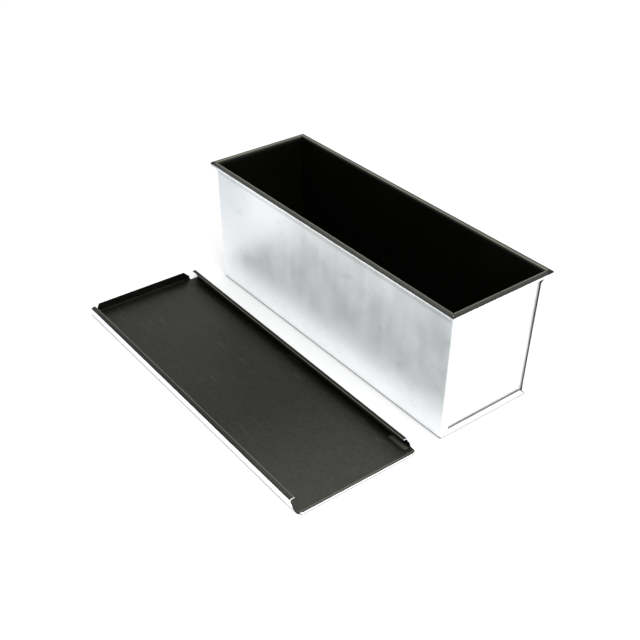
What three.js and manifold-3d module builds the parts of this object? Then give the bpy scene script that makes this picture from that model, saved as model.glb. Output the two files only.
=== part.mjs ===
// Sliding-lid loaf pan with its lid lying upside down beside it.
//
// Frame: millimetres, +Z up. The origin is the centre of the pan's underside, +X runs along the pan
// towards its near end, and the lid lies on the -Y side. Pan and lid both stand on z = 0.
import * as THREE from "three";
import { mergeVertices } from "three/addons/utils/BufferGeometryUtils.js";
import Module from "manifold-3d";

const wasm = await Module();
wasm.setup();

// ---- driving dimensions -------------------------------------------------------------------------
const SHEET = 0.6; // thickness of every sheet
const GAP = 0.3; // clearance between pieces that touch
const HEIGHT = 110; // underside to the top of the rim
const RIM_LENGTH = 291; // outside of the rim rolls
const RIM_WIDTH = 97.1;
const FOOT_LENGTH = 279.3; // outside of the seams at the underside
const FOOT_WIDTH = 87.3;
const FOOT_BEND = 1.8; // outside radius of the bend between bottom and long side
const ROLL_DIAMETER = 4.9; // rolled rim, outside
const ROLL_END_DEG = -115; // where the curl's free edge stops
const MITRE = 0.25; // each roll stops this far short of the mitre line, measured along X or Y
const SEAM_WIDTH = 6.3; // margin of the wrap folded over the end panel
const HEM_WIDTH = 4.6; // edge of the end panel folded back on itself, inside that margin
const SEAM_SLOT = 0.35; // open mitre between the folded margins

const LID_LENGTH = 294.6;
const LID_WIDTH = 103;
const RAIL_HEIGHT = 7;
const LIP_WIDTH = 3.5; // free width of the rail's lip, inside the rail's wall
const RAIL_FOOT_BEND = 1.2;
const RAIL_TOP_BEND = 1.5;
const RAIL_NEAR_SETBACK = 10.3; // from the lid's near edge to the lip's cut end
const RAIL_CUT_RUN = 4; // length of the sloping cut through the rail's wall
const RAIL_FAR_SETBACK = 0.8;
const LID_CORNER = 4.5; // radius of the near corners
const LID_HEM = 1.8; // near edge folded back on itself
const FLANGE_HEIGHT = 8;
const FLANGE_BEND = 1.1;
const FLANGE_OUTLINE = [[-46, 0.2], [-46, 5], [-43.6, 8], [38.6, 8], [44, 2.2], [44, 0.2]]; // y, z
const CORNER_NOTCH_DEPTH = 3; // between the flange and each rail
const LOW_NOTCH_TAPERS = [0.6, 1]; // how far its flange side and its rail side lean inwards
const HIGH_NOTCH_TAPERS = [0.8, 1.5];
const RAIL_NOTCH_RISE = 0.4; // the rail's far end is free of the panel up to this far above it
const CRIMP_LENGTH = 18; // pressed strip near the rail next to the pan
const CRIMP_WIDTH = 4;
const CRIMP_RISE = 0.7;
const CRIMP_END_SETBACK = 6.2;
const CRIMP_SIDE_SETBACK = 2.6;

const LID_CENTRE = [-7.3, -116.8];
const LID_YAW_DEG = -0.4;

const ARC_STEPS = 20;
const WELD = 1e-4; // corners closer together than this are one

// ---- worked out from them -----------------------------------------------------------------------
const ROLL_RADIUS = ROLL_DIAMETER / 2;
const ROLL_Z = HEIGHT - ROLL_RADIUS;
const WIRE_RADIUS = ROLL_RADIUS - SHEET - GAP;
const MOUTH_X = RIM_LENGTH / 2 - ROLL_DIAMETER; // inside faces at the mouth
const MOUTH_Y = RIM_WIDTH / 2 - ROLL_DIAMETER;
const HEM_THICKNESS = 2 * SHEET;
const SEAM_THICKNESS = HEM_THICKNESS + GAP + SHEET; // end panel's inside face to the seam's outside
const END_SLOPE = (MOUTH_X + SEAM_THICKNESS - FOOT_LENGTH / 2) / ROLL_Z;
const SIDE_SLOPE = (MOUTH_Y + SHEET - FOOT_WIDTH / 2) / ROLL_Z;
const SHOULDER_Z = HEIGHT - ROLL_DIAMETER - GAP; // the seams stop here, just under the end rolls
const CLEAR = 60; // reach of the cutting blocks beyond the pan
const OVER = 1; // how far a cut runs past the piece it cuts
const LEAST_BEND = 0.5; // smallest radius inside a bend

// ---- solids -------------------------------------------------------------------------------------
function solid(geometry) {
  geometry.deleteAttribute("normal");
  geometry.deleteAttribute("uv");
  const merged = mergeVertices(geometry, WELD);
  const mesh = new wasm.Mesh({
    numProp: 3,
    vertProperties: new Float32Array(merged.attributes.position.array),
    triVerts: new Uint32Array(merged.index.array),
  });
  return new wasm.Manifold(mesh);
}

function geometryOf(manifold) {
  const mesh = manifold.getMesh();
  const geometry = new THREE.BufferGeometry();
  geometry.setAttribute("position", new THREE.BufferAttribute(new Float32Array(mesh.vertProperties), 3));
  geometry.setIndex(new THREE.BufferAttribute(new Uint32Array(mesh.triVerts), 1));
  geometry.computeVertexNormals();
  return geometry;
}

// A shape drawn in two of the frame's axes, pushed along the third between two values.
function prism(shape, drawnX, drawnY, pushed, from, to) {
  const options = { depth: to - from, bevelEnabled: false, curveSegments: ARC_STEPS };
  const geometry = new THREE.ExtrudeGeometry(shape, options);
  geometry.translate(0, 0, from);
  geometry.applyMatrix4(new THREE.Matrix4().makeBasis(drawnX, drawnY, pushed));
  return solid(geometry);
}

const X = new THREE.Vector3(1, 0, 0);
const Y = new THREE.Vector3(0, 1, 0);
const Z = new THREE.Vector3(0, 0, 1);

function alongX(shape, from, to) {
  return prism(shape, Y, Z, X, from, to);
}

function alongY(shape, from, to) {
  return prism(shape, X, Z, Y.clone().negate(), -to, -from);
}

function alongZ(shape, from, to) {
  return prism(shape, X, Y, Z, from, to);
}

function polygon(points) {
  return new THREE.Shape(points.map(([a, b]) => new THREE.Vector2(a, b)));
}

function turnedRound(manifold) {
  return solid(geometryOf(manifold).rotateZ(Math.PI));
}

// ---- the pan's planes ---------------------------------------------------------------------------
// Outside face of the near end's seams, and outside face of the +Y long side, at height z.
function seamX(z) {
  return FOOT_LENGTH / 2 + END_SLOPE * z;
}

function sideY(z) {
  return FOOT_WIDTH / 2 + SIDE_SLOPE * z;
}

// The near end's leaning layer between two depths behind the seam's outside face.
function endLayer(depthFrom, depthTo, top) {
  const outline = polygon([
    [seamX(-OVER) - depthTo, -OVER],
    [seamX(-OVER) - depthFrom, -OVER],
    [seamX(top) - depthFrom, top],
    [seamX(top) - depthTo, top],
  ]);
  return alongY(outline, -CLEAR, CLEAR);
}

// The pan's cross-section as a filled trough, moved inwards from the outside by inset.
function trough(inset, top) {
  const radius = Math.max(FOOT_BEND - inset, LEAST_BEND);
  const shape = new THREE.Shape();
  shape.moveTo(sideY(top) - inset, top);
  shape.lineTo(-sideY(top) + inset, top);
  shape.lineTo(-sideY(inset + radius) + inset, inset + radius);
  shape.absarc(-sideY(0) + inset + radius, inset + radius, radius, Math.PI, 1.5 * Math.PI, false);
  shape.lineTo(sideY(0) - inset - radius, inset);
  shape.absarc(sideY(0) - inset - radius, inset + radius, radius, 1.5 * Math.PI, 2 * Math.PI, false);
  return shape;
}

// The open middle of the end, inside a border of the given width on three sides.
function endWindow(border) {
  const top = HEIGHT + OVER;
  return polygon([
    [-sideY(border) + border, border],
    [sideY(border) - border, border],
    [sideY(top) - border, top],
    [-sideY(top) + border, top],
  ]);
}

// ---- the rim ------------------------------------------------------------------------------------
// Adds the curl of a rolled edge to an outline that has just come up a wall's inside face on the
// right. It ends at the same height on the wall's outside face.
function addCurl(shape, centre) {
  const end = THREE.MathUtils.degToRad(ROLL_END_DEG);
  shape.absarc(centre, ROLL_Z, ROLL_RADIUS, Math.PI, end, true);
  shape.absarc(centre, ROLL_Z, ROLL_RADIUS - SHEET, end, Math.PI, false);
}

// The same on the left: up the outside face, round the curl and back to the inside face.
function addMirroredCurl(shape, centre) {
  const end = Math.PI - THREE.MathUtils.degToRad(ROLL_END_DEG);
  shape.absarc(-centre, ROLL_Z, ROLL_RADIUS - SHEET, 0, end, false);
  shape.absarc(-centre, ROLL_Z, ROLL_RADIUS, end, 0, true);
}

// Everything above the shoulder that belongs to the long sides' rolls, short of the mitre lines.
function sideRollBlock(low) {
  const inner = MOUTH_X - MOUTH_Y - MITRE;
  const outer = inner + CLEAR;
  const outline = polygon([
    [outer, CLEAR],
    [-outer, CLEAR],
    [-inner, 0],
    [-outer, -CLEAR],
    [outer, -CLEAR],
    [inner, 0],
  ]);
  return alongZ(outline, low, HEIGHT + OVER);
}

// The same for the near end's roll.
function endRollBlock(low) {
  const inner = MOUTH_X - MOUTH_Y + MITRE;
  const outline = polygon([[inner, 0], [inner + CLEAR, -CLEAR], [inner + CLEAR, CLEAR]]);
  return alongZ(outline, low, HEIGHT + OVER);
}

// ---- sub-parts of the pan -----------------------------------------------------------------------
// One sheet: long side, bottom, long side, with a curl at both top edges.
function wrapSection() {
  const centre = MOUTH_Y + ROLL_RADIUS;
  const inside = FOOT_BEND - SHEET;
  const shape = new THREE.Shape();
  shape.moveTo(-MOUTH_Y, ROLL_Z);
  shape.lineTo(-sideY(FOOT_BEND) + SHEET, FOOT_BEND);
  shape.absarc(-sideY(0) + FOOT_BEND, FOOT_BEND, inside, Math.PI, 1.5 * Math.PI, false);
  shape.lineTo(sideY(0) - FOOT_BEND, SHEET);
  shape.absarc(sideY(0) - FOOT_BEND, FOOT_BEND, inside, 1.5 * Math.PI, 2 * Math.PI, false);
  shape.lineTo(MOUTH_Y, ROLL_Z);
  addCurl(shape, centre);
  shape.lineTo(sideY(FOOT_BEND), FOOT_BEND);
  shape.absarc(sideY(0) - FOOT_BEND, FOOT_BEND, FOOT_BEND, 0, -0.5 * Math.PI, true);
  shape.lineTo(-sideY(0) + FOOT_BEND, 0);
  shape.absarc(-sideY(0) + FOOT_BEND, FOOT_BEND, FOOT_BEND, -0.5 * Math.PI, -Math.PI, true);
  shape.lineTo(-MOUTH_Y - SHEET, ROLL_Z);
  addMirroredCurl(shape, centre);
  return shape;
}

// The slot between the side margin and the bottom margin, running up from the lower corner.
function seamSlot(side) {
  const half = SEAM_SLOT / Math.SQRT2;
  const corner = sideY(0) * side;
  const near = corner - side * FOOT_BEND;
  const reach = SEAM_WIDTH + OVER;
  const far = corner - side * reach;
  const outline = polygon([
    [near, FOOT_BEND - half],
    [near, FOOT_BEND + half],
    [far, reach + half],
    [far, reach - half],
  ]);
  return alongX(outline, seamX(0) - SHEET - GAP / 2, seamX(0) + SHEET);
}

// The near end's folded margins: they start halfway through the wrap's own sides and bottom.
function nearSeam() {
  const open = alongX(endWindow(SEAM_WIDTH), 0, RIM_LENGTH);
  const margin = endLayer(0, SHEET, SHOULDER_Z).subtract(open);
  return margin.intersect(alongX(trough(SHEET / 2, SHOULDER_Z + OVER), 0, RIM_LENGTH));
}

function bodyWrap() {
  const sheet = alongX(wrapSection(), -RIM_LENGTH / 2, RIM_LENGTH / 2);
  const leaning = polygon([
    [-seamX(-OVER), -OVER],
    [seamX(-OVER), -OVER],
    [seamX(SHOULDER_Z), SHOULDER_Z],
    [-seamX(SHOULDER_Z), SHOULDER_Z],
  ]);
  const kept = alongY(leaning, -CLEAR, CLEAR).add(sideRollBlock(SHOULDER_Z));
  const seam = nearSeam();
  let wrap = sheet.intersect(kept).add(seam).add(turnedRound(seam));
  for (const side of [-1, 1]) {
    const slot = seamSlot(side);
    wrap = wrap.subtract(slot).subtract(turnedRound(slot));
  }
  return wrap;
}

// Flat end with its two sides and foot folded back flat, and a curl of its own along the top.
function endPanel() {
  const inset = SHEET + GAP;
  const section = new THREE.Shape();
  section.moveTo(seamX(0) - SEAM_THICKNESS, 0);
  section.lineTo(MOUTH_X, ROLL_Z);
  addCurl(section, MOUTH_X + ROLL_RADIUS);
  section.lineTo(seamX(0) - SEAM_THICKNESS + SHEET, 0);
  const open = alongX(endWindow(inset + HEM_WIDTH), 0, RIM_LENGTH);
  const hem = endLayer(inset, SEAM_THICKNESS - SHEET / 2, SHOULDER_Z).subtract(open);
  const low = SHOULDER_Z + GAP;
  const kept = alongX(trough(inset, low), 0, RIM_LENGTH).add(endRollBlock(low));
  return alongY(section, -CLEAR, CLEAR).add(hem).intersect(kept);
}

// Stiffening wire inside the four rolls, bent tight at the corners.
function rimWire() {
  const x = MOUTH_X + ROLL_RADIUS;
  const y = MOUTH_Y + ROLL_RADIUS;
  const circle = (centre) => new THREE.Shape().absarc(centre, ROLL_Z, WIRE_RADIUS, 0, 2 * Math.PI, false);
  let wire = alongX(circle(y), -x, x).add(alongX(circle(-y), -x, x));
  wire = wire.add(alongY(circle(x), -y, y)).add(alongY(circle(-x), -y, y));
  for (const [cornerX, cornerY] of [[x, y], [-x, y], [-x, -y], [x, -y]]) {
    const knuckle = new THREE.SphereGeometry(WIRE_RADIUS, ARC_STEPS, ARC_STEPS / 2);
    wire = wire.add(solid(knuckle.translate(cornerX, cornerY, ROLL_Z)));
  }
  return wire;
}

// ---- the lid, as it lies: panel on the floor, rails and flange standing up ----------------------
function lidPanel() {
  const length = LID_LENGTH / 2;
  const width = LID_WIDTH / 2;
  const flat = width - RAIL_FOOT_BEND;
  const rail = length - RAIL_NEAR_SETBACK + RAIL_CUT_RUN;
  const shape = new THREE.Shape();
  shape.moveTo(-length + FLANGE_BEND, -flat);
  shape.lineTo(rail, -flat);
  shape.lineTo(rail, -width);
  shape.absarc(length - LID_CORNER, -width + LID_CORNER, LID_CORNER, -0.5 * Math.PI, 0, false);
  shape.absarc(length - LID_CORNER, width - LID_CORNER, LID_CORNER, 0, 0.5 * Math.PI, false);
  shape.lineTo(rail, width);
  shape.lineTo(rail, flat);
  shape.lineTo(-length + FLANGE_BEND, flat);
  const low = cornerNotch(FLANGE_OUTLINE[0][0], LOW_NOTCH_TAPERS, -1);
  const high = cornerNotch(FLANGE_OUTLINE.at(-1)[0], HIGH_NOTCH_TAPERS, 1);
  return alongZ(shape, 0, SHEET).subtract(low).subtract(high);
}

// The cut-out between the flange, which ends at flangeY, and the rail on the same side.
function cornerNotch(flangeY, [flangeTaper, railTaper], side) {
  const start = -LID_LENGTH / 2 - OVER;
  const end = -LID_LENGTH / 2 + CORNER_NOTCH_DEPTH;
  const railY = side * (LID_WIDTH / 2 - SHEET);
  const outline = [
    [start, flangeY],
    [end, flangeY + side * flangeTaper],
    [end, railY - side * railTaper],
    [start, railY],
  ];
  return alongZ(polygon(side < 0 ? outline.reverse() : outline), -OVER, RAIL_HEIGHT / 2);
}

function railSection() {
  const wall = LID_WIDTH / 2;
  const lip = wall - SHEET - LIP_WIDTH;
  const foot = RAIL_FOOT_BEND;
  const top = RAIL_TOP_BEND;
  const shape = new THREE.Shape();
  shape.moveTo(lip, 0);
  shape.absarc(wall - foot, foot, foot, -0.5 * Math.PI, 0, false);
  shape.absarc(wall - top, RAIL_HEIGHT - top, top, 0, 0.5 * Math.PI, false);
  shape.lineTo(lip, RAIL_HEIGHT);
  shape.lineTo(lip, RAIL_HEIGHT - SHEET);
  shape.absarc(wall - top, RAIL_HEIGHT - top, top - SHEET, 0.5 * Math.PI, 0, true);
  shape.absarc(wall - foot, foot, foot - SHEET, 0, -0.5 * Math.PI, true);
  shape.lineTo(lip, SHEET);
  return shape;
}

// The rail next to the pan. Its near end is cut on a slope from the lip down to the panel.
function rail() {
  const far = -LID_LENGTH / 2 + RAIL_FAR_SETBACK;
  const lipEnd = LID_LENGTH / 2 - RAIL_NEAR_SETBACK;
  const footEnd = lipEnd + RAIL_CUT_RUN;
  const profile = polygon([
    [far + CORNER_NOTCH_DEPTH, -OVER],
    [footEnd, -OVER],
    [footEnd, SHEET],
    [lipEnd, RAIL_HEIGHT - SHEET],
    [lipEnd, RAIL_HEIGHT + OVER],
    [far, RAIL_HEIGHT + OVER],
    [far, SHEET + RAIL_NOTCH_RISE],
    [far + CORNER_NOTCH_DEPTH, SHEET + RAIL_NOTCH_RISE],
  ]);
  return alongX(railSection(), far, footEnd).intersect(alongY(profile, 0, LID_WIDTH));
}

// The far edge turned up, with bevelled corners.
function farFlange() {
  const end = -LID_LENGTH / 2;
  const shape = new THREE.Shape();
  shape.moveTo(end + FLANGE_BEND + CORNER_NOTCH_DEPTH, SHEET);
  shape.lineTo(end + FLANGE_BEND, SHEET);
  shape.absarc(end + FLANGE_BEND, FLANGE_BEND, FLANGE_BEND - SHEET, -0.5 * Math.PI, -Math.PI, true);
  shape.lineTo(end + SHEET, FLANGE_HEIGHT);
  shape.lineTo(end, FLANGE_HEIGHT);
  shape.absarc(end + FLANGE_BEND, FLANGE_BEND, FLANGE_BEND, Math.PI, 1.5 * Math.PI, false);
  shape.lineTo(end + FLANGE_BEND + CORNER_NOTCH_DEPTH, 0);
  const outline = polygon([
    [FLANGE_OUTLINE.at(-1)[0], -OVER],
    ...FLANGE_OUTLINE.toReversed(),
    [FLANGE_OUTLINE[0][0], -OVER],
  ]);
  const turnedUp = alongY(shape, -LID_WIDTH / 2, LID_WIDTH / 2);
  return turnedUp.intersect(alongX(outline, end - OVER, end + LID_CORNER));
}

// Near edge folded back over the panel.
function nearHem() {
  const end = LID_LENGTH / 2;
  const width = LID_WIDTH / 2;
  const shape = new THREE.Shape();
  shape.moveTo(end - LID_HEM, -width + LID_CORNER);
  shape.lineTo(end, -width + LID_CORNER);
  shape.lineTo(end, width - LID_CORNER);
  shape.lineTo(end - LID_HEM, width - LID_CORNER);
  return alongZ(shape, 0, HEM_THICKNESS);
}

// Strip pressed into the panel, near the rail next to the pan.
function crimp() {
  const end = LID_LENGTH / 2 - CRIMP_END_SETBACK;
  const side = LID_WIDTH / 2 - CRIMP_SIDE_SETBACK;
  const shape = polygon([
    [end - CRIMP_LENGTH, side - CRIMP_WIDTH],
    [end, side - CRIMP_WIDTH],
    [end, side],
    [end - CRIMP_LENGTH, side],
  ]);
  return alongZ(shape, 0, SHEET + CRIMP_RISE);
}

function leftRail(right) {
  const mirror = new THREE.Matrix4().makeScale(1, -1, 1);
  const flipped = geometryOf(right).applyMatrix4(mirror);
  const index = flipped.index.array;
  for (let i = 0; i < index.length; i += 3) {
    [index[i + 1], index[i + 2]] = [index[i + 2], index[i + 1]];
  }
  return solid(flipped);
}

function lid() {
  const right = rail();
  const rails = right.add(leftRail(right));
  return lidPanel().add(rails).add(farFlange()).add(nearHem()).add(crimp());
}

// ---- materials and assembly ---------------------------------------------------------------------
const bareSteel = () => new THREE.MeshStandardMaterial({ color: 0xc9ccd0, roughness: 0.4, metalness: 0.9 });
const wireSteel = () => new THREE.MeshStandardMaterial({ color: 0x8f9296, roughness: 0.5, metalness: 0.9 });
const coating = () => new THREE.MeshStandardMaterial({ color: 0x3b3a37, roughness: 0.65, metalness: 0.2 });

function piece(name, manifold, material) {
  const mesh = new THREE.Mesh(geometryOf(manifold), material);
  mesh.name = name;
  return mesh;
}

const pan = new THREE.Group();
const nearPanel = endPanel();
const farPanel = piece("end_panel_far", nearPanel, bareSteel());
farPanel.rotation.z = Math.PI;
pan.add(piece("body_wrap", bodyWrap(), bareSteel()));
pan.add(piece("end_panel_near", nearPanel, bareSteel()));
pan.add(farPanel);
pan.add(piece("rim_wire", rimWire(), wireSteel()));

const lidGroup = new THREE.Group();
lidGroup.position.set(LID_CENTRE[0], LID_CENTRE[1], 0);
lidGroup.rotation.z = THREE.MathUtils.degToRad(LID_YAW_DEG);
lidGroup.add(piece("lid", lid(), coating()));

const loafPan = new THREE.Group();
loafPan.add(pan, lidGroup);

export default loafPan;
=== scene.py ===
"""Looks of a sliding-lid loaf pan and its lid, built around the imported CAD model. Metres, +Z up."""
import math

import bmesh
import bpy
from mathutils import Matrix, Vector, noise


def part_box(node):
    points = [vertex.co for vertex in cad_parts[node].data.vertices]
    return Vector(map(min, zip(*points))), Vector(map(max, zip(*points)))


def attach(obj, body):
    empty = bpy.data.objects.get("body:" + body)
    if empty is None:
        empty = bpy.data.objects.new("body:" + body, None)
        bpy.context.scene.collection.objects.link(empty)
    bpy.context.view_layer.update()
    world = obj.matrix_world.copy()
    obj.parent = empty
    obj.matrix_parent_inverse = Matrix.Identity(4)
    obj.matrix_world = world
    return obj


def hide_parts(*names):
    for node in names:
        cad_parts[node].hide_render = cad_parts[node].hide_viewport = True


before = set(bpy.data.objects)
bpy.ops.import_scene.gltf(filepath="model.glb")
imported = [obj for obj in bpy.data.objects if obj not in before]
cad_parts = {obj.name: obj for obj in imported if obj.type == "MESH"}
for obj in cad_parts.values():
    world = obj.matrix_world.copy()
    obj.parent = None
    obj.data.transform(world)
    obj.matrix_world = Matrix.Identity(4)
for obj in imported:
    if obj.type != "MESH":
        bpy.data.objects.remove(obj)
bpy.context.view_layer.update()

# ---- driving dimensions, the same as the CAD model's --------------------------------------------
MM = 0.001
SHEET = 0.6 * MM
GAP = 0.3 * MM
FOOT_BEND = 1.8 * MM
ROLL_RADIUS = 2.45 * MM
ROLL_END = math.radians(-115)
MITRE = 0.25 * MM
INNER_MITRE = 0.03 * MM  # the rolls meet more closely inside the mouth
SEAM_WIDTH = 6.3 * MM
NARROW_SEAM = 4.8 * MM  # the right-hand margin of each end is cut narrower
SEAM_SLANT = 3.2 * MM  # how far that margin's top edge falls towards its free edge
HEM_WIDTH = 4.6 * MM
HEM_CLEARANCE = 0.15 * MM  # from a hem's edge to the margin's edge above it
SEAM_SLOT = 0.35 * MM
SEAM_BEND = 1.5 * MM  # outside radius of the pan's upright corners

WRAP_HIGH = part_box("body_wrap")[1]
PANEL_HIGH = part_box("end_panel_near")[1]
HEIGHT = WRAP_HIGH.z
MOUTH_X = PANEL_HIGH.x - 2 * ROLL_RADIUS
MOUTH_Y = WRAP_HIGH.y - 2 * ROLL_RADIUS
ROLL_Z = HEIGHT - ROLL_RADIUS
FOOT_X = 139.65 * MM
FOOT_Y = 43.65 * MM
SEAM_THICKNESS = 2 * SHEET + GAP + SHEET
END_SLOPE = (MOUTH_X + SEAM_THICKNESS - FOOT_X) / ROLL_Z
SIDE_SLOPE = (MOUTH_Y + SHEET - FOOT_Y) / ROLL_Z
SHOULDER = HEIGHT - 2 * ROLL_RADIUS - GAP

LID_CENTRE = Vector((-7.3, -116.8, 0)) * MM
LID_YAW = math.radians(-0.4)
LID_X = 147.3 * MM
LID_Y = 51.5 * MM
RAIL_HEIGHT = 7 * MM
LIP_WIDTH = 3.5 * MM
RAIL_FOOT = 1.2 * MM
RAIL_TOP = 2.4 * MM
LIP_END = LID_X - 10.3 * MM
LIP_EDGE_Y = LID_Y - SHEET - LIP_WIDTH
RAIL_CUT_RUN = 4 * MM
RAIL_FAR = -LID_X + 0.8 * MM
LID_CORNER = 4.5 * MM
LID_HEM = 1.8 * MM
FLANGE_HEIGHT = 8 * MM
FLANGE_BEND = 1.1 * MM
FLANGE_LOW_Y = (-46 * MM, -43.6 * MM)  # foot and top of the bevelled corner
FLANGE_HIGH_Y = (44 * MM, 38.6 * MM)
NOTCH_DEPTH = 3 * MM
FOLD = 0.04 * MM  # inside radius of a fold pressed flat


# ---- sheet metal --------------------------------------------------------------------------------
FINISHES = ("coat", "wear_and_highlight", "painted_shade")
WELD = 0.002 * MM  # points closer than this become one point
SHARP = math.radians(28)  # a bend sharper than this is shaded as an edge
WAVE_HEIGHT = 0.08 * MM
WAVE_LENGTH = 90 * MM
WAVE_RISE = 60 * MM
WAVE_FADE = 10 * MM  # the waves fade out over this height at a sheet's ends
WAVE_FOOT_FADE = 15 * MM  # and over this height at the foot of a long side
SIDE_SEED = 3.0
END_SEED = 9.0
LID_SEED = 20.0


def clamp(value):
    """value, kept between 0 and 1."""
    return max(0.0, min(1.0, value))


def span(start, end, count):
    """count evenly spaced values from start, leaving out end."""
    return [start + (end - start) * i / count for i in range(count)]


def sheet(rows, columns, point, finish, keep):
    """A bmesh of sheet metal. point(row, column, depth) gives a place on the sheet, for depth 0 on
    its outside face and SHEET on its inside face, and finish gives the FINISHES there.
    keep(row, column) says whether the cell that starts at those indices is there. The cut edges
    are closed."""
    mesh = bmesh.new()
    layers = [mesh.verts.layers.float.new(name) for name in FINISHES]

    def corner(row, column, depth):
        vert = mesh.verts.new(point(row, column, depth))
        for layer, value in zip(layers, finish(row, column, depth)):
            vert[layer] = value
        return vert

    outside, inside = [[[corner(r, c, depth) for c in columns] for r in rows] for depth in (0.0, SHEET)]

    def kept(i, j):
        return 0 <= i < len(rows) - 1 and 0 <= j < len(columns) - 1 and keep(rows[i], columns[j])

    for i in range(len(rows) - 1):
        for j in range(len(columns) - 1):
            if not kept(i, j):
                continue
            ring = [(i, j), (i + 1, j), (i + 1, j + 1), (i, j + 1)]
            mesh.faces.new([outside[a][b] for a, b in ring])
            mesh.faces.new([inside[a][b] for a, b in reversed(ring)])
            beyond = [(i, j - 1), (i + 1, j), (i, j + 1), (i - 1, j)]
            for (a, b), (c, d), (e, f) in zip(ring, ring[1:] + ring[:1], beyond):
                if not kept(e, f):
                    mesh.faces.new([outside[c][d], outside[a][b], inside[a][b], inside[c][d]])
    loose = [v for v in mesh.verts if not v.link_faces]
    bmesh.ops.delete(mesh, geom=loose, context="VERTS")
    bmesh.ops.remove_doubles(mesh, verts=mesh.verts, dist=WELD)
    bmesh.ops.recalc_face_normals(mesh, faces=mesh.faces)
    return mesh


def finished(name, mesh):
    """The object of a bmesh. Its point attributes say how far a point lies inside the coated area, in
    millimetres, negative where the steel is bare; how worn the coating is, which along the rolls' crests
    is partly a painted highlight; and how much painted shade darkens the steel."""
    data = bpy.data.meshes.new(name)
    mesh.to_mesh(data)
    mesh.free()
    data.polygons.foreach_set("use_smooth", [True] * len(data.polygons))
    data.set_sharp_from_angle(angle=SHARP)
    piece = bpy.data.objects.new(name, data)
    bpy.context.scene.collection.objects.link(piece)
    return piece


def seam_x(z):
    """X of the outside face of the near end's folded margins."""
    return FOOT_X + END_SLOPE * z


def side_y(z):
    """Y of the outside face of the long side on +Y."""
    return FOOT_Y + SIDE_SLOPE * z


def slack(x, z, seed):
    """How far a thin wall stands off its plane: shallow, broad waves."""
    return WAVE_HEIGHT * noise.noise(Vector((x / WAVE_LENGTH, z / WAVE_RISE, seed)))


# ---- wrap: bottom and long sides ----------------------------------------------------------------
CURL_STEPS = 26
CORNER_STEPS = 6
BODY_STEPS = 48
FOOT_DETAIL = 5 * MM  # the bottom is divided finely this near its bend
WALL_DETAIL = 8 * MM  # and a long side this near its foot and its shoulder
NECK_Z = SHOULDER + MM  # the short straight between a wall and its roll
FLAT, ARC, MARGIN = "flat", "arc", "margin"
MARGIN_SHARES = (0.25, 0.5, 0.75, 0.95, 1.0)
MARGIN_SPRING = 0.4 * MM  # how far a right-hand margin stands off at the rim
SLANT_HEIGHT = 8 * MM  # the slant of its top edge fades out over this height
BODY_SETBACK = 0.8 * MM  # from an upright bend to the last flat column
ROLL_INSIDE = -0.85  # cosine of a roll's turn where its inner side begins


def wrap_rows():
    """The right half of the wrap's section, outside face, from the middle of the bottom to the
    curl's free edge, and the left half before it. A row is (kind, side, y, z, inward y, inward z)."""
    half = []
    edge = FOOT_Y - FOOT_BEND
    for y in span(0, edge - FOOT_DETAIL, 8) + span(edge - FOOT_DETAIL, edge, 10):
        half.append(("foot", y, 0.0, 0.0, 1.0))
    for i in range(CORNER_STEPS):
        turn = -math.pi / 2 + math.pi / 2 * i / CORNER_STEPS
        across, up = math.cos(turn), math.sin(turn)
        half.append(("bend", edge + FOOT_BEND * across, FOOT_BEND * (1 + up), -across, -up))
    heights = span(FOOT_BEND, WALL_DETAIL, 12) + span(WALL_DETAIL, SHOULDER - WALL_DETAIL, 28)
    heights += span(SHOULDER - WALL_DETAIL, SHOULDER, 8) + [SHOULDER]
    for z in heights:
        half.append(("wall", side_y(z), z, -1.0, 0.0))
    half.append(("neck", side_y(NECK_Z), NECK_Z, -1.0, 0.0))
    for i in range(CURL_STEPS + 1):
        turn = math.pi + (ROLL_END - math.pi) * i / CURL_STEPS
        radius = ROLL_RADIUS - SHEET
        y = MOUTH_Y + ROLL_RADIUS + radius * math.cos(turn)
        half.append(("curl", y, ROLL_Z + radius * math.sin(turn), math.cos(turn), math.sin(turn)))
    left = [(kind, -1, -y, z, -ny, nz) for kind, y, z, ny, nz in reversed(half[1:])]
    right = [(kind, 1, y, z, ny, nz) for kind, y, z, ny, nz in half]
    return left + right


def wrap_columns():
    """(kind, end, value): value is a share of the half-length, a bend angle or a share of the margin."""
    near = [(ARC, 1, math.pi / 2 * i / CORNER_STEPS) for i in range(CORNER_STEPS + 1)]
    near += [(MARGIN, 1, share) for share in MARGIN_SHARES]
    far = [(kind, -1, value) for kind, _, value in reversed(near)]
    flat = [(FLAT, 1, -1 + 2 * i / BODY_STEPS) for i in range(BODY_STEPS + 1)]
    return far + flat + near


def margin_width(kind, end, side, y, z):
    """How far an end margin reaches over its end panel, cut short towards the lower corners."""
    if kind == "wall":
        return min(SEAM_WIDTH if end * side < 0 else NARROW_SEAM, z - SEAM_SLOT)
    if kind == "foot":
        return min(SEAM_WIDTH, FOOT_Y - abs(y) - SEAM_SLOT)
    return SEAM_BEND


def margin_lift(end, side, kind, z, share):
    """The right-hand margin of each end has sprung open towards the rim."""
    if kind != "wall" or end * side < 0:
        return 0.0
    return share * MARGIN_SPRING * (z / SHOULDER) ** 2


def mitre_gap(kind, cosine):
    """How far short of the mitre line a roll is cut, less on its inner side and its neck."""
    return INNER_MITRE if kind == "neck" or cosine < ROLL_INSIDE else MITRE


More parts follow.
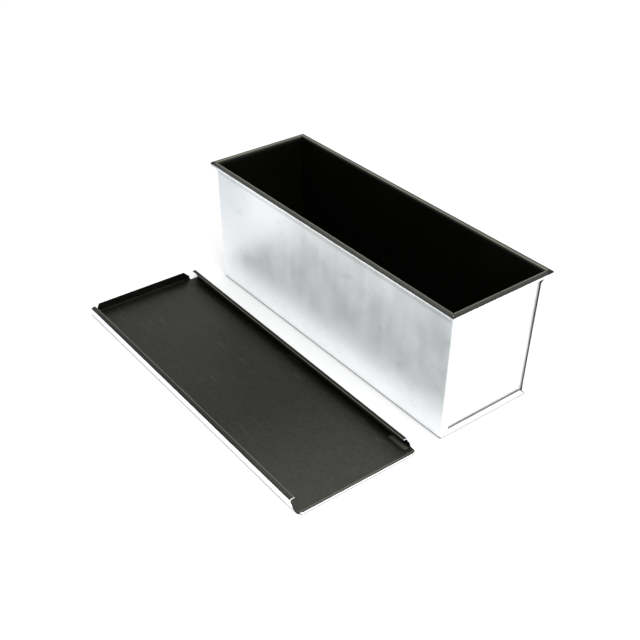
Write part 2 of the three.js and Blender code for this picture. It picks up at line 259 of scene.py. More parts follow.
def wrap_point(row, column, depth):
    kind, side, y, z, ny, nz = row
    place, end, value = column
    if place == FLAT:
        y += ny * depth
        z += nz * depth
        if kind in ("curl", "neck"):
            length = MOUTH_X - mitre_gap(kind, side * ny) + abs(y) - MOUTH_Y
        else:
            length = seam_x(z) - SEAM_BEND - BODY_SETBACK
        x = value * length
        if kind == "wall":
            fade = min(1, z / WAVE_FOOT_FADE) * min(1, (SHOULDER - z) / WAVE_FADE) * (1 - value ** 6)
            y += side * fade * slack(x, z, SIDE_SEED * side)
        return Vector((x, y, z))
    turn = value if place == ARC else math.pi / 2
    share = value if place == MARGIN else 0.0
    if kind == "wall" and end * side > 0:
        z -= share ** 0.6 * SEAM_SLANT * max(0.0, 1 - (SHOULDER - z) / SLANT_HEIGHT)
    radius = SEAM_BEND - depth
    inwards = SEAM_BEND - radius * math.cos(turn)
    inwards += share * max(0.0, margin_width(kind, end, side, y, z) - SEAM_BEND)
    y += ny * inwards
    z += nz * inwards
    out = seam_x(z) - SEAM_BEND + radius * math.sin(turn) + margin_lift(end, side, kind, z, share)
    return Vector((end * out, y, z))


def wrap_keep(rows):
    """The rolls stop at the mitres, so from the shoulder up only the flat columns are there."""
    upper = {"neck", "curl"}
    last_wall = {id(row) for row, after in zip(rows, rows[1:]) if upper & {row[0], after[0]}}

    def keep(row, column):
        place, end, value = column
        if id(row) not in last_wall:
            return True
        return place == FLAT and value < 1

    return keep


BARE, COATED = -2.0, 2.0
COAT_EDGE = math.radians(18)  # the spray stops here on its way down a roll's outside
# rubbed coating along a roll's crest, partly a painted highlight there
RUB_TURN, RUB_SPREAD, RUB_WEAR_AND_HIGHLIGHT = 119, 22, 0.8  # degrees, degrees, share
CLOSING_TURN, CLOSING_FADE = 75, 25  # degrees below the outermost point, where a roll closes and its painted shade begins
# painted shade: on a roll's hidden inner face, in the seams, at the necks, below the rolls, and where the
# sheet meets the floor
ROLL_PAINTED_SHADE = 0.8
SIDE_EDGE_PAINTED_SHADE = 0.55  # painted shade along a margin's free edge, in the seam's gap
FOOT_EDGE_PAINTED_SHADE = 0.35
NECK_PAINTED_SHADE = 0.7
SHOULDER_PAINTED_SHADE = 0.32  # painted shadow in a band below the rolls
SHOULDER_BAND = 6.5 * MM
SHOULDER_FADE = 2.5 * MM
# painted shade on the faces that look down at the floor, and on the bottom bend
UNDERSIDE_PAINTED_SHADE = 0.9
UNDERSIDE_SLOPE = 0.45  # a sheet whose inward direction rises more than this faces down
ARC_PAINTED_SHADE = 0.8  # painted shade by the floor, where the bottom turns up into an end margin
ARC_SHADE_END = math.radians(40)
BEND_PAINTED_SHADE = 0.3


def curl_finish(turn, depth):
    """A roll's outside is its sheet's inside face. turn is 180 degrees at the wall's inside face, 90 at
    the crest and 0 outermost. The coating is rubbed thin along the crest's inner edge, and that lighter
    line is partly a painted highlight. Painted shade darkens the roll's hidden inner face and the part
    where it closes against the wall."""
    if depth == 0:
        return BARE, 0.0, ROLL_PAINTED_SHADE
    coat = max(BARE, min(COATED, (turn - COAT_EDGE) * ROLL_RADIUS / MM))
    rubbed = max(0.0, 1 - abs(math.degrees(turn) - RUB_TURN) / RUB_SPREAD)
    closing_shade = clamp((-math.degrees(turn) - CLOSING_TURN) / CLOSING_FADE)
    return coat, RUB_WEAR_AND_HIGHLIGHT * rubbed, closing_shade


def wrap_finish(row, column, depth):
    kind, side, y, z, ny, nz = row
    place, end, value = column
    if kind == "curl":
        return curl_finish(math.atan2(nz, side * ny), depth)
    if depth > 0:
        return COATED, 0.0, 0.0
    # apart from the coating, these values are painted shade
    if place == MARGIN and value == 1:
        return BARE, 0.0, SIDE_EDGE_PAINTED_SHADE if kind == "wall" else FOOT_EDGE_PAINTED_SHADE
    if kind == "neck":
        return BARE, 0.0, NECK_PAINTED_SHADE
    if kind == "wall":
        if place != FLAT:
            return BARE, 0.0, 0.0
        return BARE, 0.0, SHOULDER_PAINTED_SHADE * clamp((z - SHOULDER + SHOULDER_BAND) / SHOULDER_FADE)
    if place == FLAT:
        return BARE, 0.0, UNDERSIDE_PAINTED_SHADE if nz > UNDERSIDE_SLOPE else 0.0
    if place == ARC and value < ARC_SHADE_END:
        return BARE, 0.0, ARC_PAINTED_SHADE
    return BARE, 0.0, BEND_PAINTED_SHADE if kind == "bend" else 0.0


def make_wrap():
    rows = wrap_rows()
    mesh = sheet(rows, wrap_columns(), wrap_point, wrap_finish, wrap_keep(rows))
    return finished("wrap", mesh)


# ---- end panels ---------------------------------------------------------------------------------
SIDE_FOLD = SHEET + GAP + FOLD + SHEET  # from a long side's plane to the plate's fold
FOOT_HEM = SEAM_WIDTH - SHEET - GAP - HEM_CLEARANCE
SEAM_LINE = SEAM_WIDTH - 0.45 * MM  # painted shade on the plate below this height, under the foot margin
LINE_STEP = 0.05 * MM
PLATE_SHARE = 0.84  # share of the half-width that the plate's own columns cover
SHOULDER_CLEARANCE = 0.05 * MM  # from the plate's edge to the long side at the shoulder


def panel_rows():
    """(kind, z, value): the foot hem, its fold, the plate, then the curl."""
    foot = SHEET + GAP
    rows = [("hem", foot + FOOT_HEM, 0.0), ("hem", foot + FOOT_HEM / 2, 0.0)]
    rows += [("fold", foot, math.pi / 2 - math.pi * i / 8) for i in range(9)]
    start = foot + SHEET + FOLD
    seam = [start + MM, SEAM_WIDTH - MM, SEAM_LINE - LINE_STEP, SEAM_LINE + LINE_STEP]
    rows += [("plate", z, 0.0) for z in seam + span(WALL_DETAIL, SHOULDER, 28) + [SHOULDER]]
    rows.append(("neck", NECK_Z, 0.0))
    for i in range(CURL_STEPS + 1):
        rows.append(("curl", 0.0, math.pi + (ROLL_END - math.pi) * i / CURL_STEPS))
    return rows


def panel_columns():
    """(kind, side, value): a hem and its fold at each side, the seam lines, and the plate between."""
    right = [("fold", 1, -math.pi / 2 + math.pi * i / 8) for i in range(1, 9)]
    right += [("hem", 1, i / 2) for i in range(1, 3)]
    left = [(kind, -1, value) for kind, _, value in reversed(right)]
    plate = [("plate", 1, share) for share in span(-PLATE_SHARE, PLATE_SHARE, 20) + [PLATE_SHARE]]
    return left + seam_columns(-1)[::-1] + plate + seam_columns(1) + right


def covered_width(side):
    """How much of the plate, from its fold, is under the margin on that side."""
    return (NARROW_SEAM if side > 0 else SEAM_WIDTH) - SIDE_FOLD


def seam_columns(side):
    """Where the plate goes under a margin: how far each column is from the plate's fold."""
    under = covered_width(side)
    insets = (under + LINE_STEP, under - 2 * LINE_STEP, under / 2, 0.0)
    return [("seam", side, inset) for inset in insets]


def panel_point(row, column, depth):
    kind, z, turn = row
    place, side, value = column
    plate = seam_x(z) - SEAM_THICKNESS + SHEET
    edge = side_y(z) - SIDE_FOLD if z < SHOULDER else MOUTH_Y - SHOULDER_CLEARANCE
    share = value if place == "plate" else side * (1 - value / edge)
    if kind == "curl":
        radius = ROLL_RADIUS - SHEET + depth
        x = MOUTH_X + ROLL_RADIUS + radius * math.cos(turn)
        z = ROLL_Z + radius * math.sin(turn)
        share = value if place == "plate" else side * (1 - value / MOUTH_Y)
        return Vector((x, roll_y(share, x, mitre_gap(kind, math.cos(turn))), z))
    if kind == "neck":
        x = plate - depth
        return Vector((x, roll_y(share, x, INNER_MITRE), z))
    if kind in ("hem", "fold"):
        y = share * (edge - HEM_WIDTH)
        if kind == "hem":
            return Vector((plate + 2 * FOLD + depth, y, z))
        radius = FOLD + depth
        centre = SHEET + GAP + FOLD + SHEET
        return Vector((plate + FOLD + radius * math.sin(turn), y, centre - radius * math.cos(turn)))
    if place in ("plate", "seam"):
        fade = (1 - share ** 4) * min(1, (SHOULDER - z) / WAVE_FADE) * min(1, z / WAVE_FADE)
        return Vector((plate - depth + fade * slack(share * 50 * MM, z, END_SEED), share * edge, z))
    if place == "fold":
        radius = FOLD + depth
        y = side * (edge + radius * math.cos(value))
        return Vector((plate + FOLD + radius * math.sin(value), y, z))
    y = side * (edge - value * (covered_width(side) - HEM_CLEARANCE))
    return Vector((plate + 2 * FOLD + depth, y, z))


def roll_y(share, x, mitre):
    """Y of a share of the half-width on an end roll, which is cut this far short of the mitre line."""
    return share * (MOUTH_Y - mitre + x - MOUTH_X)


def panel_finish(row, column, depth):
    kind, z, turn = row
    place, side, value = column
    if kind == "curl":
        return curl_finish(turn, depth)
    if depth > 0:
        return COATED, 0.0, 0.0
    # painted shade on the plate under the margins and below the foot margin's edge
    covered = place in ("hem", "fold") or place == "seam" and value < covered_width(side)
    hidden = kind in ("hem", "fold") or covered or z < SEAM_LINE
    return BARE, 0.0, 1.0 if hidden else 0.0


def panel_keep(row, column):
    kind, z, turn = row
    place, side, value = column
    plate_cell = place == "plate" or place == "seam" and (side < 0 or value > 0)
    if kind in ("neck", "curl", "hem", "fold") or z >= SHOULDER:
        return plate_cell
    return plate_cell or z > SEAM_WIDTH


def make_panel(name, end):
    mesh = sheet(panel_rows(), panel_columns(), panel_point, panel_finish, panel_keep)
    if end < 0:
        bmesh.ops.rotate(mesh, verts=mesh.verts, cent=(0, 0, 0), matrix=Matrix.Rotation(math.pi, 3, "Z"))
    return finished(name, mesh)


# ---- rim wire -----------------------------------------------------------------------------------
WIRE_BEND = 0.5 * MM
WIRE_STEPS = 3  # at each corner


def make_wire():
    """A steel wire inside the four rolls, bent tight at the corners."""
    x = MOUTH_X + ROLL_RADIUS
    y = MOUTH_Y + ROLL_RADIUS
    curve = bpy.data.curves.new("wire", "CURVE")
    curve.dimensions = "3D"
    curve.bevel_depth = ROLL_RADIUS - SHEET - GAP
    curve.bevel_resolution = 5
    spline = curve.splines.new("POLY")
    points = []
    for quarter, (end, side) in enumerate([(1, 1), (-1, 1), (-1, -1), (1, -1)]):
        for i in range(WIRE_STEPS + 1):
            turn = math.pi / 2 * (quarter + i / WIRE_STEPS)
            bent_x = end * (x - WIRE_BEND) + WIRE_BEND * math.cos(turn)
            bent_y = side * (y - WIRE_BEND) + WIRE_BEND * math.sin(turn)
            points.append((bent_x, bent_y, ROLL_Z, 1))
    spline.points.add(len(points) - 1)
    for target, source in zip(spline.points, points):
        target.co = source
    spline.use_cyclic_u = True
    piece = bpy.data.objects.new("wire", curve)
    bpy.context.scene.collection.objects.link(piece)
    return piece


# ---- lid ----------------------------------------------------------------------------------------
LID_DETAIL_Y = 36 * MM  # beyond this the panel is divided finely
BEVEL_START = 0.25  # share of the flange's height where its bevelled corner begins
LIP_RAKE = 0.1  # how far a lip's near end leans, per height
RAIL_NOTCH = 0.6 * MM  # the foot of a rail's far end is cut back this far
RAIL_NOTCH_HEIGHT = 2.5 * MM
FLATTEN = 2 * MM  # a rail's foot bend flattens over this length around the rail's near end
LID_RISE = 0.25 * MM  # how far the panel's middle stands off the table


def lid_rows():
    """The lid's section from the left lip to the right lip, outside face. A row is
    (kind, y, z, inward y, inward z)."""
    half = []
    edge = LID_Y - RAIL_FOOT
    for y in span(0, LID_DETAIL_Y, 14) + span(LID_DETAIL_Y, edge, 44):
        half.append(("panel", y, 0.0, 0.0, 1.0))
    for i in range(CORNER_STEPS):
        turn = -math.pi / 2 + math.pi / 2 * i / CORNER_STEPS
        across, up = math.cos(turn), math.sin(turn)
        half.append(("foot", edge + RAIL_FOOT * across, RAIL_FOOT * (1 + up), -across, -up))
    for z in span(RAIL_FOOT, RAIL_HEIGHT - RAIL_TOP, 8):
        half.append(("wall", LID_Y, z, -1.0, 0.0))
    for i in range(CORNER_STEPS + 3):
        turn = math.pi / 2 * i / (CORNER_STEPS + 3)
        across, up = math.cos(turn), math.sin(turn)
        y = LID_Y - RAIL_TOP * (1 - across)
        half.append(("lip", y, RAIL_HEIGHT - RAIL_TOP * (1 - up), -across, -up))
    for y in span(LID_Y - RAIL_TOP, LIP_EDGE_Y, 3) + [LIP_EDGE_Y]:
        half.append(("lip", y, RAIL_HEIGHT, 0.0, -1.0))
    left = [(kind, -y, z, -ny, nz) for kind, y, z, ny, nz in reversed(half[1:])]
    return left + half


def lid_columns():
    """(kind, value) from the flange's top edge to the near hem's free edge. The body's values are
    shares of its length, closer together at both ends."""
    flange = [("rise", 1 - i / 6) for i in range(6)]
    flange += [("bend", math.pi / 2 * (1 - i / CORNER_STEPS)) for i in range(CORNER_STEPS)]
    body = [0, 0.0015] + span(0.003, 0.02, 4) + span(0.02, 0.94, 46)
    body += span(0.94, 0.997, 18) + [0.9985, 1.0]
    hem = [("fold", -math.pi / 2 + math.pi * i / 8) for i in range(1, 9)]
    return flange + [("body", u) for u in body] + hem + [("hem", 0.5), ("hem", 1.0)]


def flat_y(kind, y, z):
    """Where a row lies once the rail has ended and the sheet is flat to its edge."""
    if kind != "foot":
        return y
    turn = math.acos(max(-1, min(1, 1 - z / RAIL_FOOT)))
    return math.copysign(LID_Y - RAIL_FOOT + RAIL_FOOT * turn / (math.pi / 2), y)


def flange_top(y):
    """Height of the flange at y, zero where there is none."""
    for foot, top in (FLANGE_LOW_Y, FLANGE_HIGH_Y):
        if (y - foot) * (top - foot) <= 0:
            return 0.0
        if (y - top) * (top - foot) < 0:
            share = min(1, BEVEL_START + (1 - BEVEL_START) * (y - foot) / (top - foot))
            return FLANGE_BEND + (FLANGE_HEIGHT - FLANGE_BEND) * share
    return FLANGE_HEIGHT


def lid_span(kind, y, z):
    """Where a row starts and ends along the lid."""
    if kind == "lip":
        return RAIL_FAR, LIP_END + LIP_RAKE * (RAIL_HEIGHT - z)
    if kind == "wall":
        drop = (RAIL_HEIGHT - z) / RAIL_HEIGHT
        notch = RAIL_NOTCH if z < RAIL_NOTCH_HEIGHT else 0.0
        return RAIL_FAR + notch, LIP_END + RAIL_CUT_RUN * drop ** 0.8
    across = abs(flat_y(kind, y, z)) - (LID_Y - LID_CORNER)
    end = LID_X - LID_CORNER + math.sqrt(max(0.0, LID_CORNER ** 2 - max(0.0, across) ** 2))
    if kind == "panel" and flange_top(y) > 0:
        return -LID_X + FLANGE_BEND, end
    return -LID_X + NOTCH_DEPTH, end


def lid_point(row, column, depth):
    kind, y, z, ny, nz = row
    place, value = column
    start, end = lid_span(kind, y, z)
    if place == "body":
        x = start + value * (end - start)
        past_rail = x - LIP_END - RAIL_CUT_RUN
        flat = clamp((past_rail + FLATTEN / 2) / FLATTEN) if kind == "foot" else 0.0
        y0 = y + ny * depth
        z0 = z + nz * depth
        y0 += (flat_y(kind, y, z) - y0) * flat
        z0 += (depth - z0) * flat
        if kind == "panel":
            fade = (1 - (y / LID_Y) ** 6) * (1 - (x / LID_X) ** 8)
            z0 += fade * (LID_RISE + slack(x, y, LID_SEED))
        return Vector((x, y0, z0))
    if place in ("rise", "bend"):
        turn = value if place == "bend" else math.pi / 2
        radius = FLANGE_BEND - depth
        up = FLANGE_BEND - radius * math.cos(turn)
        if place == "rise":
            up += value * max(0.0, flange_top(y) - FLANGE_BEND)
        return Vector((-LID_X + FLANGE_BEND - radius * math.sin(turn), y, up))
    radius = FOLD + SHEET - depth
    centre = end - SHEET - FOLD
    turn = value if place == "fold" else math.pi / 2
    back = value * LID_HEM if place == "hem" else 0.0
    up = SHEET + FOLD + radius * math.sin(turn)
    return Vector((centre + radius * math.cos(turn) - back, y, up))


def lid_keep(row, column):
    kind, y, z, ny, nz = row
    place, value = column
    if place == "body" and value < 1:
        return True
    if kind != "panel":
        return False
    if place in ("rise", "bend"):
        return flange_top(y + 0.1 * MM) > 0 and flange_top(y) > 0
    return abs(y) < LID_Y - 0.4 * LID_CORNER


LIP_COAT_EDGE = math.radians(35)
HEM_COAT_EDGE = math.radians(75)
HEM_COAT_RATE = 1.5  # how sharply the spray ends on the near hem
# painted shade under the near hem's fold and along the rails' feet, by the floor
HEM_PAINTED_SHADE = 0.8
HEM_WEAR, HEM_EDGE_WEAR = 0.1, 0.5
LIP_EDGE_WEAR = 0.75
RAIL_FOOT_PAINTED_SHADE = 0.7


def lid_finish(row, column, depth):
    """The lid was sprayed from above as it lies: its inner side, and the tops of its lips."""
    kind, y, z, ny, nz = row
    place, value = column
    cut = place == "body" and kind == "lip" and value in (0, 1.0)
    if cut:
        return BARE, 0.0, 0.0
    if place == "fold":
        coat = (value - HEM_COAT_EDGE) * (FOLD + SHEET) / MM * HEM_COAT_RATE
        return coat, 0.0, HEM_PAINTED_SHADE if value < 0 else 0.0
    if place == "hem":
        return COATED, HEM_EDGE_WEAR if value == 1 else HEM_WEAR, 0.0
    if depth > 0:
        return COATED, 0.0, 0.0
    if kind == "lip":
        turn = math.atan2(-nz, abs(ny))
        worn = LIP_EDGE_WEAR if abs(y) <= LIP_EDGE_Y + 0.01 * MM else 0.0
        return min(COATED, (turn - LIP_COAT_EDGE) * RAIL_TOP / MM), worn, 0.0
    # painted shade on the underside of a rail's foot bend
    foot_shaded = kind == "foot" and nz > 0.7 and value < 0.95
    return BARE, 0.0, RAIL_FOOT_PAINTED_SHADE if foot_shaded else 0.0


CRIMP_SIZE = Vector((18, 4.0, 0.8)) * MM
CRIMP_NEAR_END = 6.2 * MM  # from the lid's near edge
CRIMP_SIDE = 2.6 * MM  # from the lid's side
CRIMP_LIFT = 0.4 * MM  # from the panel's flat to the strip's underside
CRIMP_EDGE = 0.22 * MM
CRIMP_WEAR = 0.14


def add_crimp(mesh):
    """The pressed strip at the foot of the rail next to the pan."""
    top = SHEET + CRIMP_LIFT + CRIMP_SIZE.z
    high_corner = Vector((LID_X - CRIMP_NEAR_END, LID_Y - CRIMP_SIDE, top))
    place = Matrix.Translation(high_corner - CRIMP_SIZE / 2) @ Matrix.Diagonal((*CRIMP_SIZE, 1))
    made = bmesh.ops.create_cube(mesh, size=1, matrix=place)["verts"]
    edges = {edge for vert in made for edge in vert.link_edges}
    known = set(mesh.verts) - set(made)
    bmesh.ops.bevel(mesh, geom=list(edges), offset=CRIMP_EDGE, segments=2, affect="EDGES")
    layers = [mesh.verts.layers.float[name] for name in FINISHES]
    for vert in set(mesh.verts) - known:
        for layer, value in zip(layers, (COATED, CRIMP_WEAR, 0.0)):
            vert[layer] = value


def make_lid():
    mesh = sheet(lid_rows(), lid_columns(), lid_point, lid_finish, lid_keep)
    add_crimp(mesh)
    piece = finished("lid_sheet", mesh)
    place = Matrix.Translation(LID_CENTRE) @ Matrix.Rotation(LID_YAW, 4, "Z")
    piece.data.transform(place)
    return piece


# ---- materials ----------------------------------------------------------------------------------
STEEL_DARK = (0.53, 0.57, 0.60, 1)
STEEL_PALE = (0.975, 0.995, 1.0, 1)
PAINTED_SHADE_COLOUR = (0.045, 0.034, 0.022, 1)
SPRAY_DARK = (0.0006, 0.0007, 0.0003, 1)
SPRAY_PALE = (0.0030, 0.0032, 0.0020, 1)
SCRATCH_COLOUR = (0.045, 0.045, 0.040, 1)
WORN_AND_HIGHLIGHT_COLOUR = (0.20, 0.185, 0.15, 1)
SPRAY_SHEEN = (1.0, 1.02, 0.90, 1)
WIRE_DARK = (0.30, 0.31, 0.32, 1)
WIRE_PALE = (0.52, 0.53, 0.54, 1)
EVEN = (1, 1, 1)  # noise that isn't stretched


class Nodes:
    """Adds nodes to a material's tree and links them."""

    def __init__(self, name):
        self.material = bpy.data.materials.new(name)
        self.material.use_nodes = True
        self.tree = self.material.node_tree
        self.tree.nodes.clear()
        self.place = self.add("ShaderNodeTexCoord").outputs["Object"]

    def add(self, kind, settings=None, **values):
        node = self.tree.nodes.new(kind)
        for key, value in (settings or {}).items():
            setattr(node, key, value)
        for key, value in values.items():
            self.set(node.inputs[key.replace("_", " ")], value)
        return node

    def set(self, socket, value):
        if isinstance(value, bpy.types.NodeSocket):
            self.tree.links.new(value, socket)
        else:
            socket.default_value = value

    def axis(self, name):
        return self.add("ShaderNodeSeparateXYZ", Vector=self.place).outputs[name]

    def stretched(self, scale):
        return self.add("ShaderNodeMapping", Vector=self.place, Scale=scale).outputs["Vector"]

    def noise(self, scale, size, detail, roughness=0.55):
        """Noise in cells of about size metres, stretched by scale along each axis."""
        node = self.add("ShaderNodeTexNoise", Vector=self.stretched(scale), Scale=1 / size, Detail=detail)
        node.inputs["Roughness"].default_value = roughness
        return node.outputs["Fac"]

    def ramp(self, value, start, end, low, high):
        """value from start to end becomes low to high."""
        node = self.add("ShaderNodeMapRange", {"interpolation_type": "SMOOTHSTEP"}, Value=value)
        for key, number in zip(("From Min", "From Max", "To Min", "To Max"), (start, end, low, high)):
            node.inputs[key].default_value = number
        return node.outputs["Result"]

    def spread(self, value, low, high):
        """Noise, which mostly lies between 0.3 and 0.7, becomes low to high."""
        return self.ramp(value, 0.3, 0.7, low, high)

    def math(self, operation, first, second=0.0):
        node = self.add("ShaderNodeMath", {"operation": operation})
        self.set(node.inputs[0], first)
        self.set(node.inputs[1], second)
        return node.outputs["Value"]

    def mix(self, factor, first, second):
        node = self.add("ShaderNodeMix", {"data_type": "RGBA"})
        self.set(node.inputs[0], factor)
        self.set(node.inputs[6], first)
        self.set(node.inputs[7], second)
        return node.outputs[2]

    def bump(self, height, distance, strength, normal=None):
        node = self.add("ShaderNodeBump", Height=height, Distance=distance, Strength=strength)
        if normal is not None:
            self.set(node.inputs["Normal"], normal)
        return node.outputs["Normal"]

    def output(self, shader):
        self.add("ShaderNodeOutputMaterial", Surface=shader)
        return self.material


def grey(value):
    return (value, value, value, 1.0)


def attribute(nodes, name):
    return nodes.add("ShaderNodeAttribute", {"attribute_name": name}).outputs["Fac"]


def painted_end_reflection(nodes):
    """Painted reflection: the long sides are darker towards their ends, mostly in the upper part."""
    x, y, z = (nodes.axis(name) for name in "XYZ")
    towards_far_end = nodes.ramp(x, -0.14, -0.06, 0.55, 0.0)
    towards_near_end = nodes.ramp(x, 0.07, 0.14, 0.0, 0.26)
    towards_end = nodes.math("ADD", towards_far_end, towards_near_end)
    upper = nodes.ramp(z, 0.02, 0.09, 0.2, 1.0)
    on_side = nodes.ramp(nodes.math("ABSOLUTE", y), 0.0405, 0.0435, 0.0, 1.0)
    return nodes.math("MULTIPLY", nodes.math("MULTIPLY", towards_end, upper), on_side)


def bare_steel(nodes):
    """Dull aluminised steel: soft cloudy grey with faint smudges, upright streaks and specks. Painted
    reflection darkens the long sides towards their ends, and painted shade darkens its folds, seams,
    hollows and the parts by the floor."""
    cloud = nodes.noise(EVEN, 0.030, 3.0)
    smudge = nodes.ramp(nodes.noise((1, 1, 1.6), 0.014, 4.0, 0.6), 0.58, 0.72, 0.0, 0.16)
    streak = nodes.noise((1, 1, 0.12), 0.007, 4.0)
    speck = nodes.noise(EVEN, 0.0011, 2.0, 0.7)
    tone = nodes.math("ADD", nodes.spread(cloud, 0.74, 0.86), nodes.spread(streak, -0.010, 0.010))
    dots = nodes.ramp(speck, 0.60, 0.76, 0.0, 0.22)
    # smudges and specks, with painted reflection darkening the sides' ends
    smudges_and_painted_reflection = nodes.math("ADD", nodes.math("ADD", smudge, dots), painted_end_reflection(nodes))
    shade = nodes.math("SUBTRACT", tone, smudges_and_painted_reflection)
    clean = nodes.mix(shade, STEEL_DARK, STEEL_PALE)
    # painted shade in the folds, seams, hollows and by the floor
    painted_shade = nodes.ramp(attribute(nodes, "painted_shade"), 0.1, 0.9, 0.0, 1.0)
    colour = nodes.mix(painted_shade, clean, PAINTED_SHADE_COLOUR)
    rough = nodes.math("ADD", nodes.spread(cloud, 0.38, 0.46), nodes.spread(streak, -0.03, 0.03))
    normal = nodes.bump(nodes.noise((1, 1, 0.5), 0.0012, 4.0), 0.02 * MM, 0.5)
    shader = nodes.add("ShaderNodeBsdfPrincipled", Base_Color=colour, Roughness=rough, Normal=normal)
    shader.inputs["Metallic"].default_value = 0.65
    return shader.outputs["BSDF"]


def dark_coating(nodes):
    """Charcoal spray: fine orange peel, faint lengthwise scratches, rubbed lighter in places; along the
    rolls' crests that lighter rubbing is partly a painted highlight.
    """
    cloud = nodes.noise(EVEN, 0.05, 2.0)
    mottle = nodes.ramp(nodes.noise(EVEN, 0.0016, 3.0, 0.7), 0.35, 0.65, 0.0, 1.0)
    scratch = nodes.noise((0.03, 1, 1), 0.0010, 2.0, 0.6)
    line = nodes.ramp(scratch, 0.64, 0.74, 0.0, 1.0)
    tone = nodes.math("ADD", nodes.math("MULTIPLY", mottle, 0.6), nodes.math("MULTIPLY", line, 0.9))
    fresh = nodes.mix(tone, SPRAY_DARK, SPRAY_PALE)
    patch = nodes.ramp(nodes.noise((0.4, 1, 1), 0.02, 2.0), 0.45, 0.6, 0.1, 0.7)
    patch = nodes.math("MULTIPLY", patch, nodes.ramp(nodes.axis("Y"), -0.066, -0.060, 1.0, 0.0))
    scratched = nodes.mix(nodes.math("MULTIPLY", line, patch), fresh, SCRATCH_COLOUR)
    # wear, and along the rolls' crests a painted highlight
    wear_and_highlight = nodes.math("MULTIPLY", attribute(nodes, "wear_and_highlight"), nodes.spread(cloud, 0.7, 1.0))
    colour = nodes.mix(wear_and_highlight, scratched, WORN_AND_HIGHLIGHT_COLOUR)
    rough = nodes.math("SUBTRACT", nodes.spread(cloud, 0.36, 0.44), nodes.math("MULTIPLY", line, 0.05))
    peel = nodes.bump(nodes.noise(EVEN, 0.0007, 3.0), 0.03 * MM, 0.6)
    normal = nodes.bump(scratch, 0.01 * MM, 0.3, peel)
    shader = nodes.add("ShaderNodeBsdfPrincipled", Base_Color=colour, Roughness=rough, Normal=normal)
    shader.inputs["Specular Tint"].default_value = SPRAY_SHEEN
    gloss = nodes.math("ADD", nodes.math("MULTIPLY", mottle, 0.12), 0.46)
    nodes.set(shader.inputs["Specular IOR Level"], nodes.math("MULTIPLY", gloss, evenness(nodes)))
    return shader.outputs["BSDF"]


def evenness(nodes):
    """Share of the full gloss: the spray is duller towards the lid's far end and near its right
    rail, inside the pan, and on the two rolls at the far end and the far side."""
    along = nodes.ramp(nodes.axis("X"), 0.02, 0.14, 0.42, 0.84)
    across = nodes.ramp(nodes.axis("Y"), -0.092, -0.068, 1.0, 0.5)
    rim = nodes.ramp(nodes.axis("Z"), 0.104, 0.107, 0.0, 1.0)
    dull_roll = nodes.math("MAXIMUM", nodes.ramp(nodes.axis("Y"), 0.041, 0.044, 0.0, 0.6),
                           nodes.ramp(nodes.axis("X"), -0.142, -0.139, 0.6, 0.0))
    rim = nodes.math("MULTIPLY", rim, nodes.math("SUBTRACT", 1.0, dull_roll))
    return nodes.math("MAXIMUM", nodes.math("MULTIPLY", along, across), rim)


def sheet_material():
    nodes = Nodes("coated_steel_sheet")
    ragged = nodes.spread(nodes.noise(EVEN, 0.0025, 3.0), -0.09, 0.09)
    mask = nodes.ramp(nodes.math("ADD", attribute(nodes, "coat"), ragged), -0.12, 0.12, 0.0, 1.0)
    both = nodes.add("ShaderNodeMixShader")
    nodes.set(both.inputs[0], mask)
    nodes.set(both.inputs[1], bare_steel(nodes))
    nodes.set(both.inputs[2], dark_coating(nodes))
    return nodes.output(both.outputs[0])


def wire_material():
    nodes = Nodes("drawn_wire")
    drawn = nodes.noise((0.05, 0.05, 1), 0.0006, 3.0)
    colour = nodes.mix(drawn, WIRE_DARK, WIRE_PALE)
    rough = nodes.spread(drawn, 0.38, 0.55)
    shader = nodes.add("ShaderNodeBsdfPrincipled", Base_Color=colour, Roughness=rough)
    shader.inputs["Metallic"].default_value = 1.0
    nodes.set(shader.inputs["Normal"], nodes.bump(drawn, 0.02 * MM, 0.4))
    return nodes.output(shader.outputs["BSDF"])


def floor_material():
    nodes = Nodes("pale_floor")
    tone = nodes.spread(nodes.noise(EVEN, 0.25, 2.0), 0.595, 0.605)
    shader = nodes.add("ShaderNodeBsdfPrincipled", Roughness=0.9)
    nodes.set(shader.inputs["Base Color"], nodes.mix(tone, grey(0.0), grey(1.0)))
    shader.inputs["Specular IOR Level"].default_value = 0.1
    return nodes.output(shader.outputs["BSDF"])


# ---- assembly -----------------------------------------------------------------------------------
def assemble(piece, body, node, material):
    piece.data.materials.append(material)
    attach(piece, body)
    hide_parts(node)


steel = sheet_material()
assemble(make_wrap(), "pan", "body_wrap", steel)
assemble(make_panel("near_end", 1), "pan", "end_panel_near", steel)
assemble(make_panel("far_end", -1), "pan", "end_panel_far", steel)
assemble(make_wire(), "pan", "rim_wire", wire_material())
assemble(make_lid(), "lid", "lid", steel)


# ---- floor, camera and light --------------------------------------------------------------------
FLOOR_SIZE = 3.0  # metres, as create_grid takes it
FLOOR_DROP = 0.02 * MM  # keeps the floor clear of the faces that stand on it
CAMERA_PLACE = Vector((524.3, -451.2, 478.6)) * MM
CAMERA_AZIMUTH = math.radians(52.2)
CAMERA_ELEVATION = math.radians(34.2)
CAMERA_ROLL = math.radians(0.33)
LENS_MM = 57.45
SENSOR_MM = 36


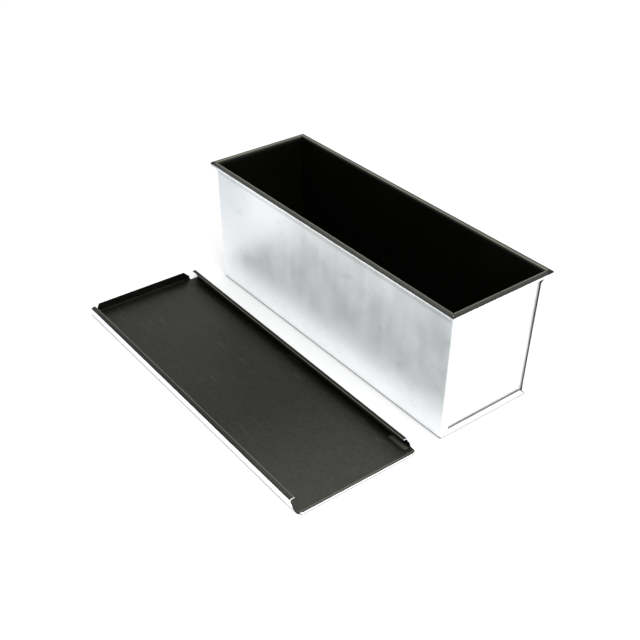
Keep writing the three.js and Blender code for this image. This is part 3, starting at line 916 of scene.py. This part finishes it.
def make_floor():
    mesh = bmesh.new()
    bmesh.ops.create_grid(mesh, x_segments=8, y_segments=8, size=FLOOR_SIZE)
    data = bpy.data.meshes.new("floor")
    mesh.to_mesh(data)
    mesh.free()
    floor = bpy.data.objects.new("floor", data)
    floor.location.z = -FLOOR_DROP
    floor.data.materials.append(floor_material())
    bpy.context.scene.collection.objects.link(floor)


def make_camera():
    """The camera stands at an azimuth and elevation round the pan, and looks just past its middle."""
    data = bpy.data.cameras.new("camera")
    data.sensor_width = SENSOR_MM
    data.lens = LENS_MM
    data.clip_start = 0.01
    camera = bpy.data.objects.new("camera", data)
    level = math.cos(CAMERA_ELEVATION)
    back_x = math.sin(CAMERA_AZIMUTH) * level
    back_y = -math.cos(CAMERA_AZIMUTH) * level
    back = Vector((back_x, back_y, math.sin(CAMERA_ELEVATION)))
    right = Vector((math.cos(CAMERA_AZIMUTH), math.sin(CAMERA_AZIMUTH), 0))
    up = back.cross(right)
    turned = Matrix((right, up, back)).transposed() @ Matrix.Rotation(CAMERA_ROLL, 3, "Z")
    camera.matrix_world = Matrix.Translation(CAMERA_PLACE) @ turned.to_4x4()
    bpy.context.scene.collection.objects.link(camera)
    bpy.context.scene.camera = camera


def area_light(name, position, target, size, power):
    data = bpy.data.lights.new(name, "AREA")
    data.shape = "RECTANGLE"
    data.size, data.size_y = size
    data.energy = power
    light = bpy.data.objects.new(name, data)
    light.location = position
    light.rotation_euler = (Vector(target) - Vector(position)).to_track_quat("-Z", "Y").to_euler()
    bpy.context.scene.collection.objects.link(light)


def make_world(strength):
    world = bpy.data.worlds.new("studio")
    world.use_nodes = True
    background = world.node_tree.nodes["Background"]
    background.inputs["Color"].default_value = (1, 1, 1, 1)
    background.inputs["Strength"].default_value = strength
    bpy.context.scene.world = world


make_floor()
make_camera()
make_world(1.2)
area_light("overhead", (-0.1, 0.0, 1.8), (-0.05, -0.05, 0), (1.5, 1.5), 20)
area_light("side", (1.3, -0.25, 1.1), (0, -0.05, 0.03), (0.9, 0.9), 17)
bpy.context.scene.view_settings.view_transform = "Standard"
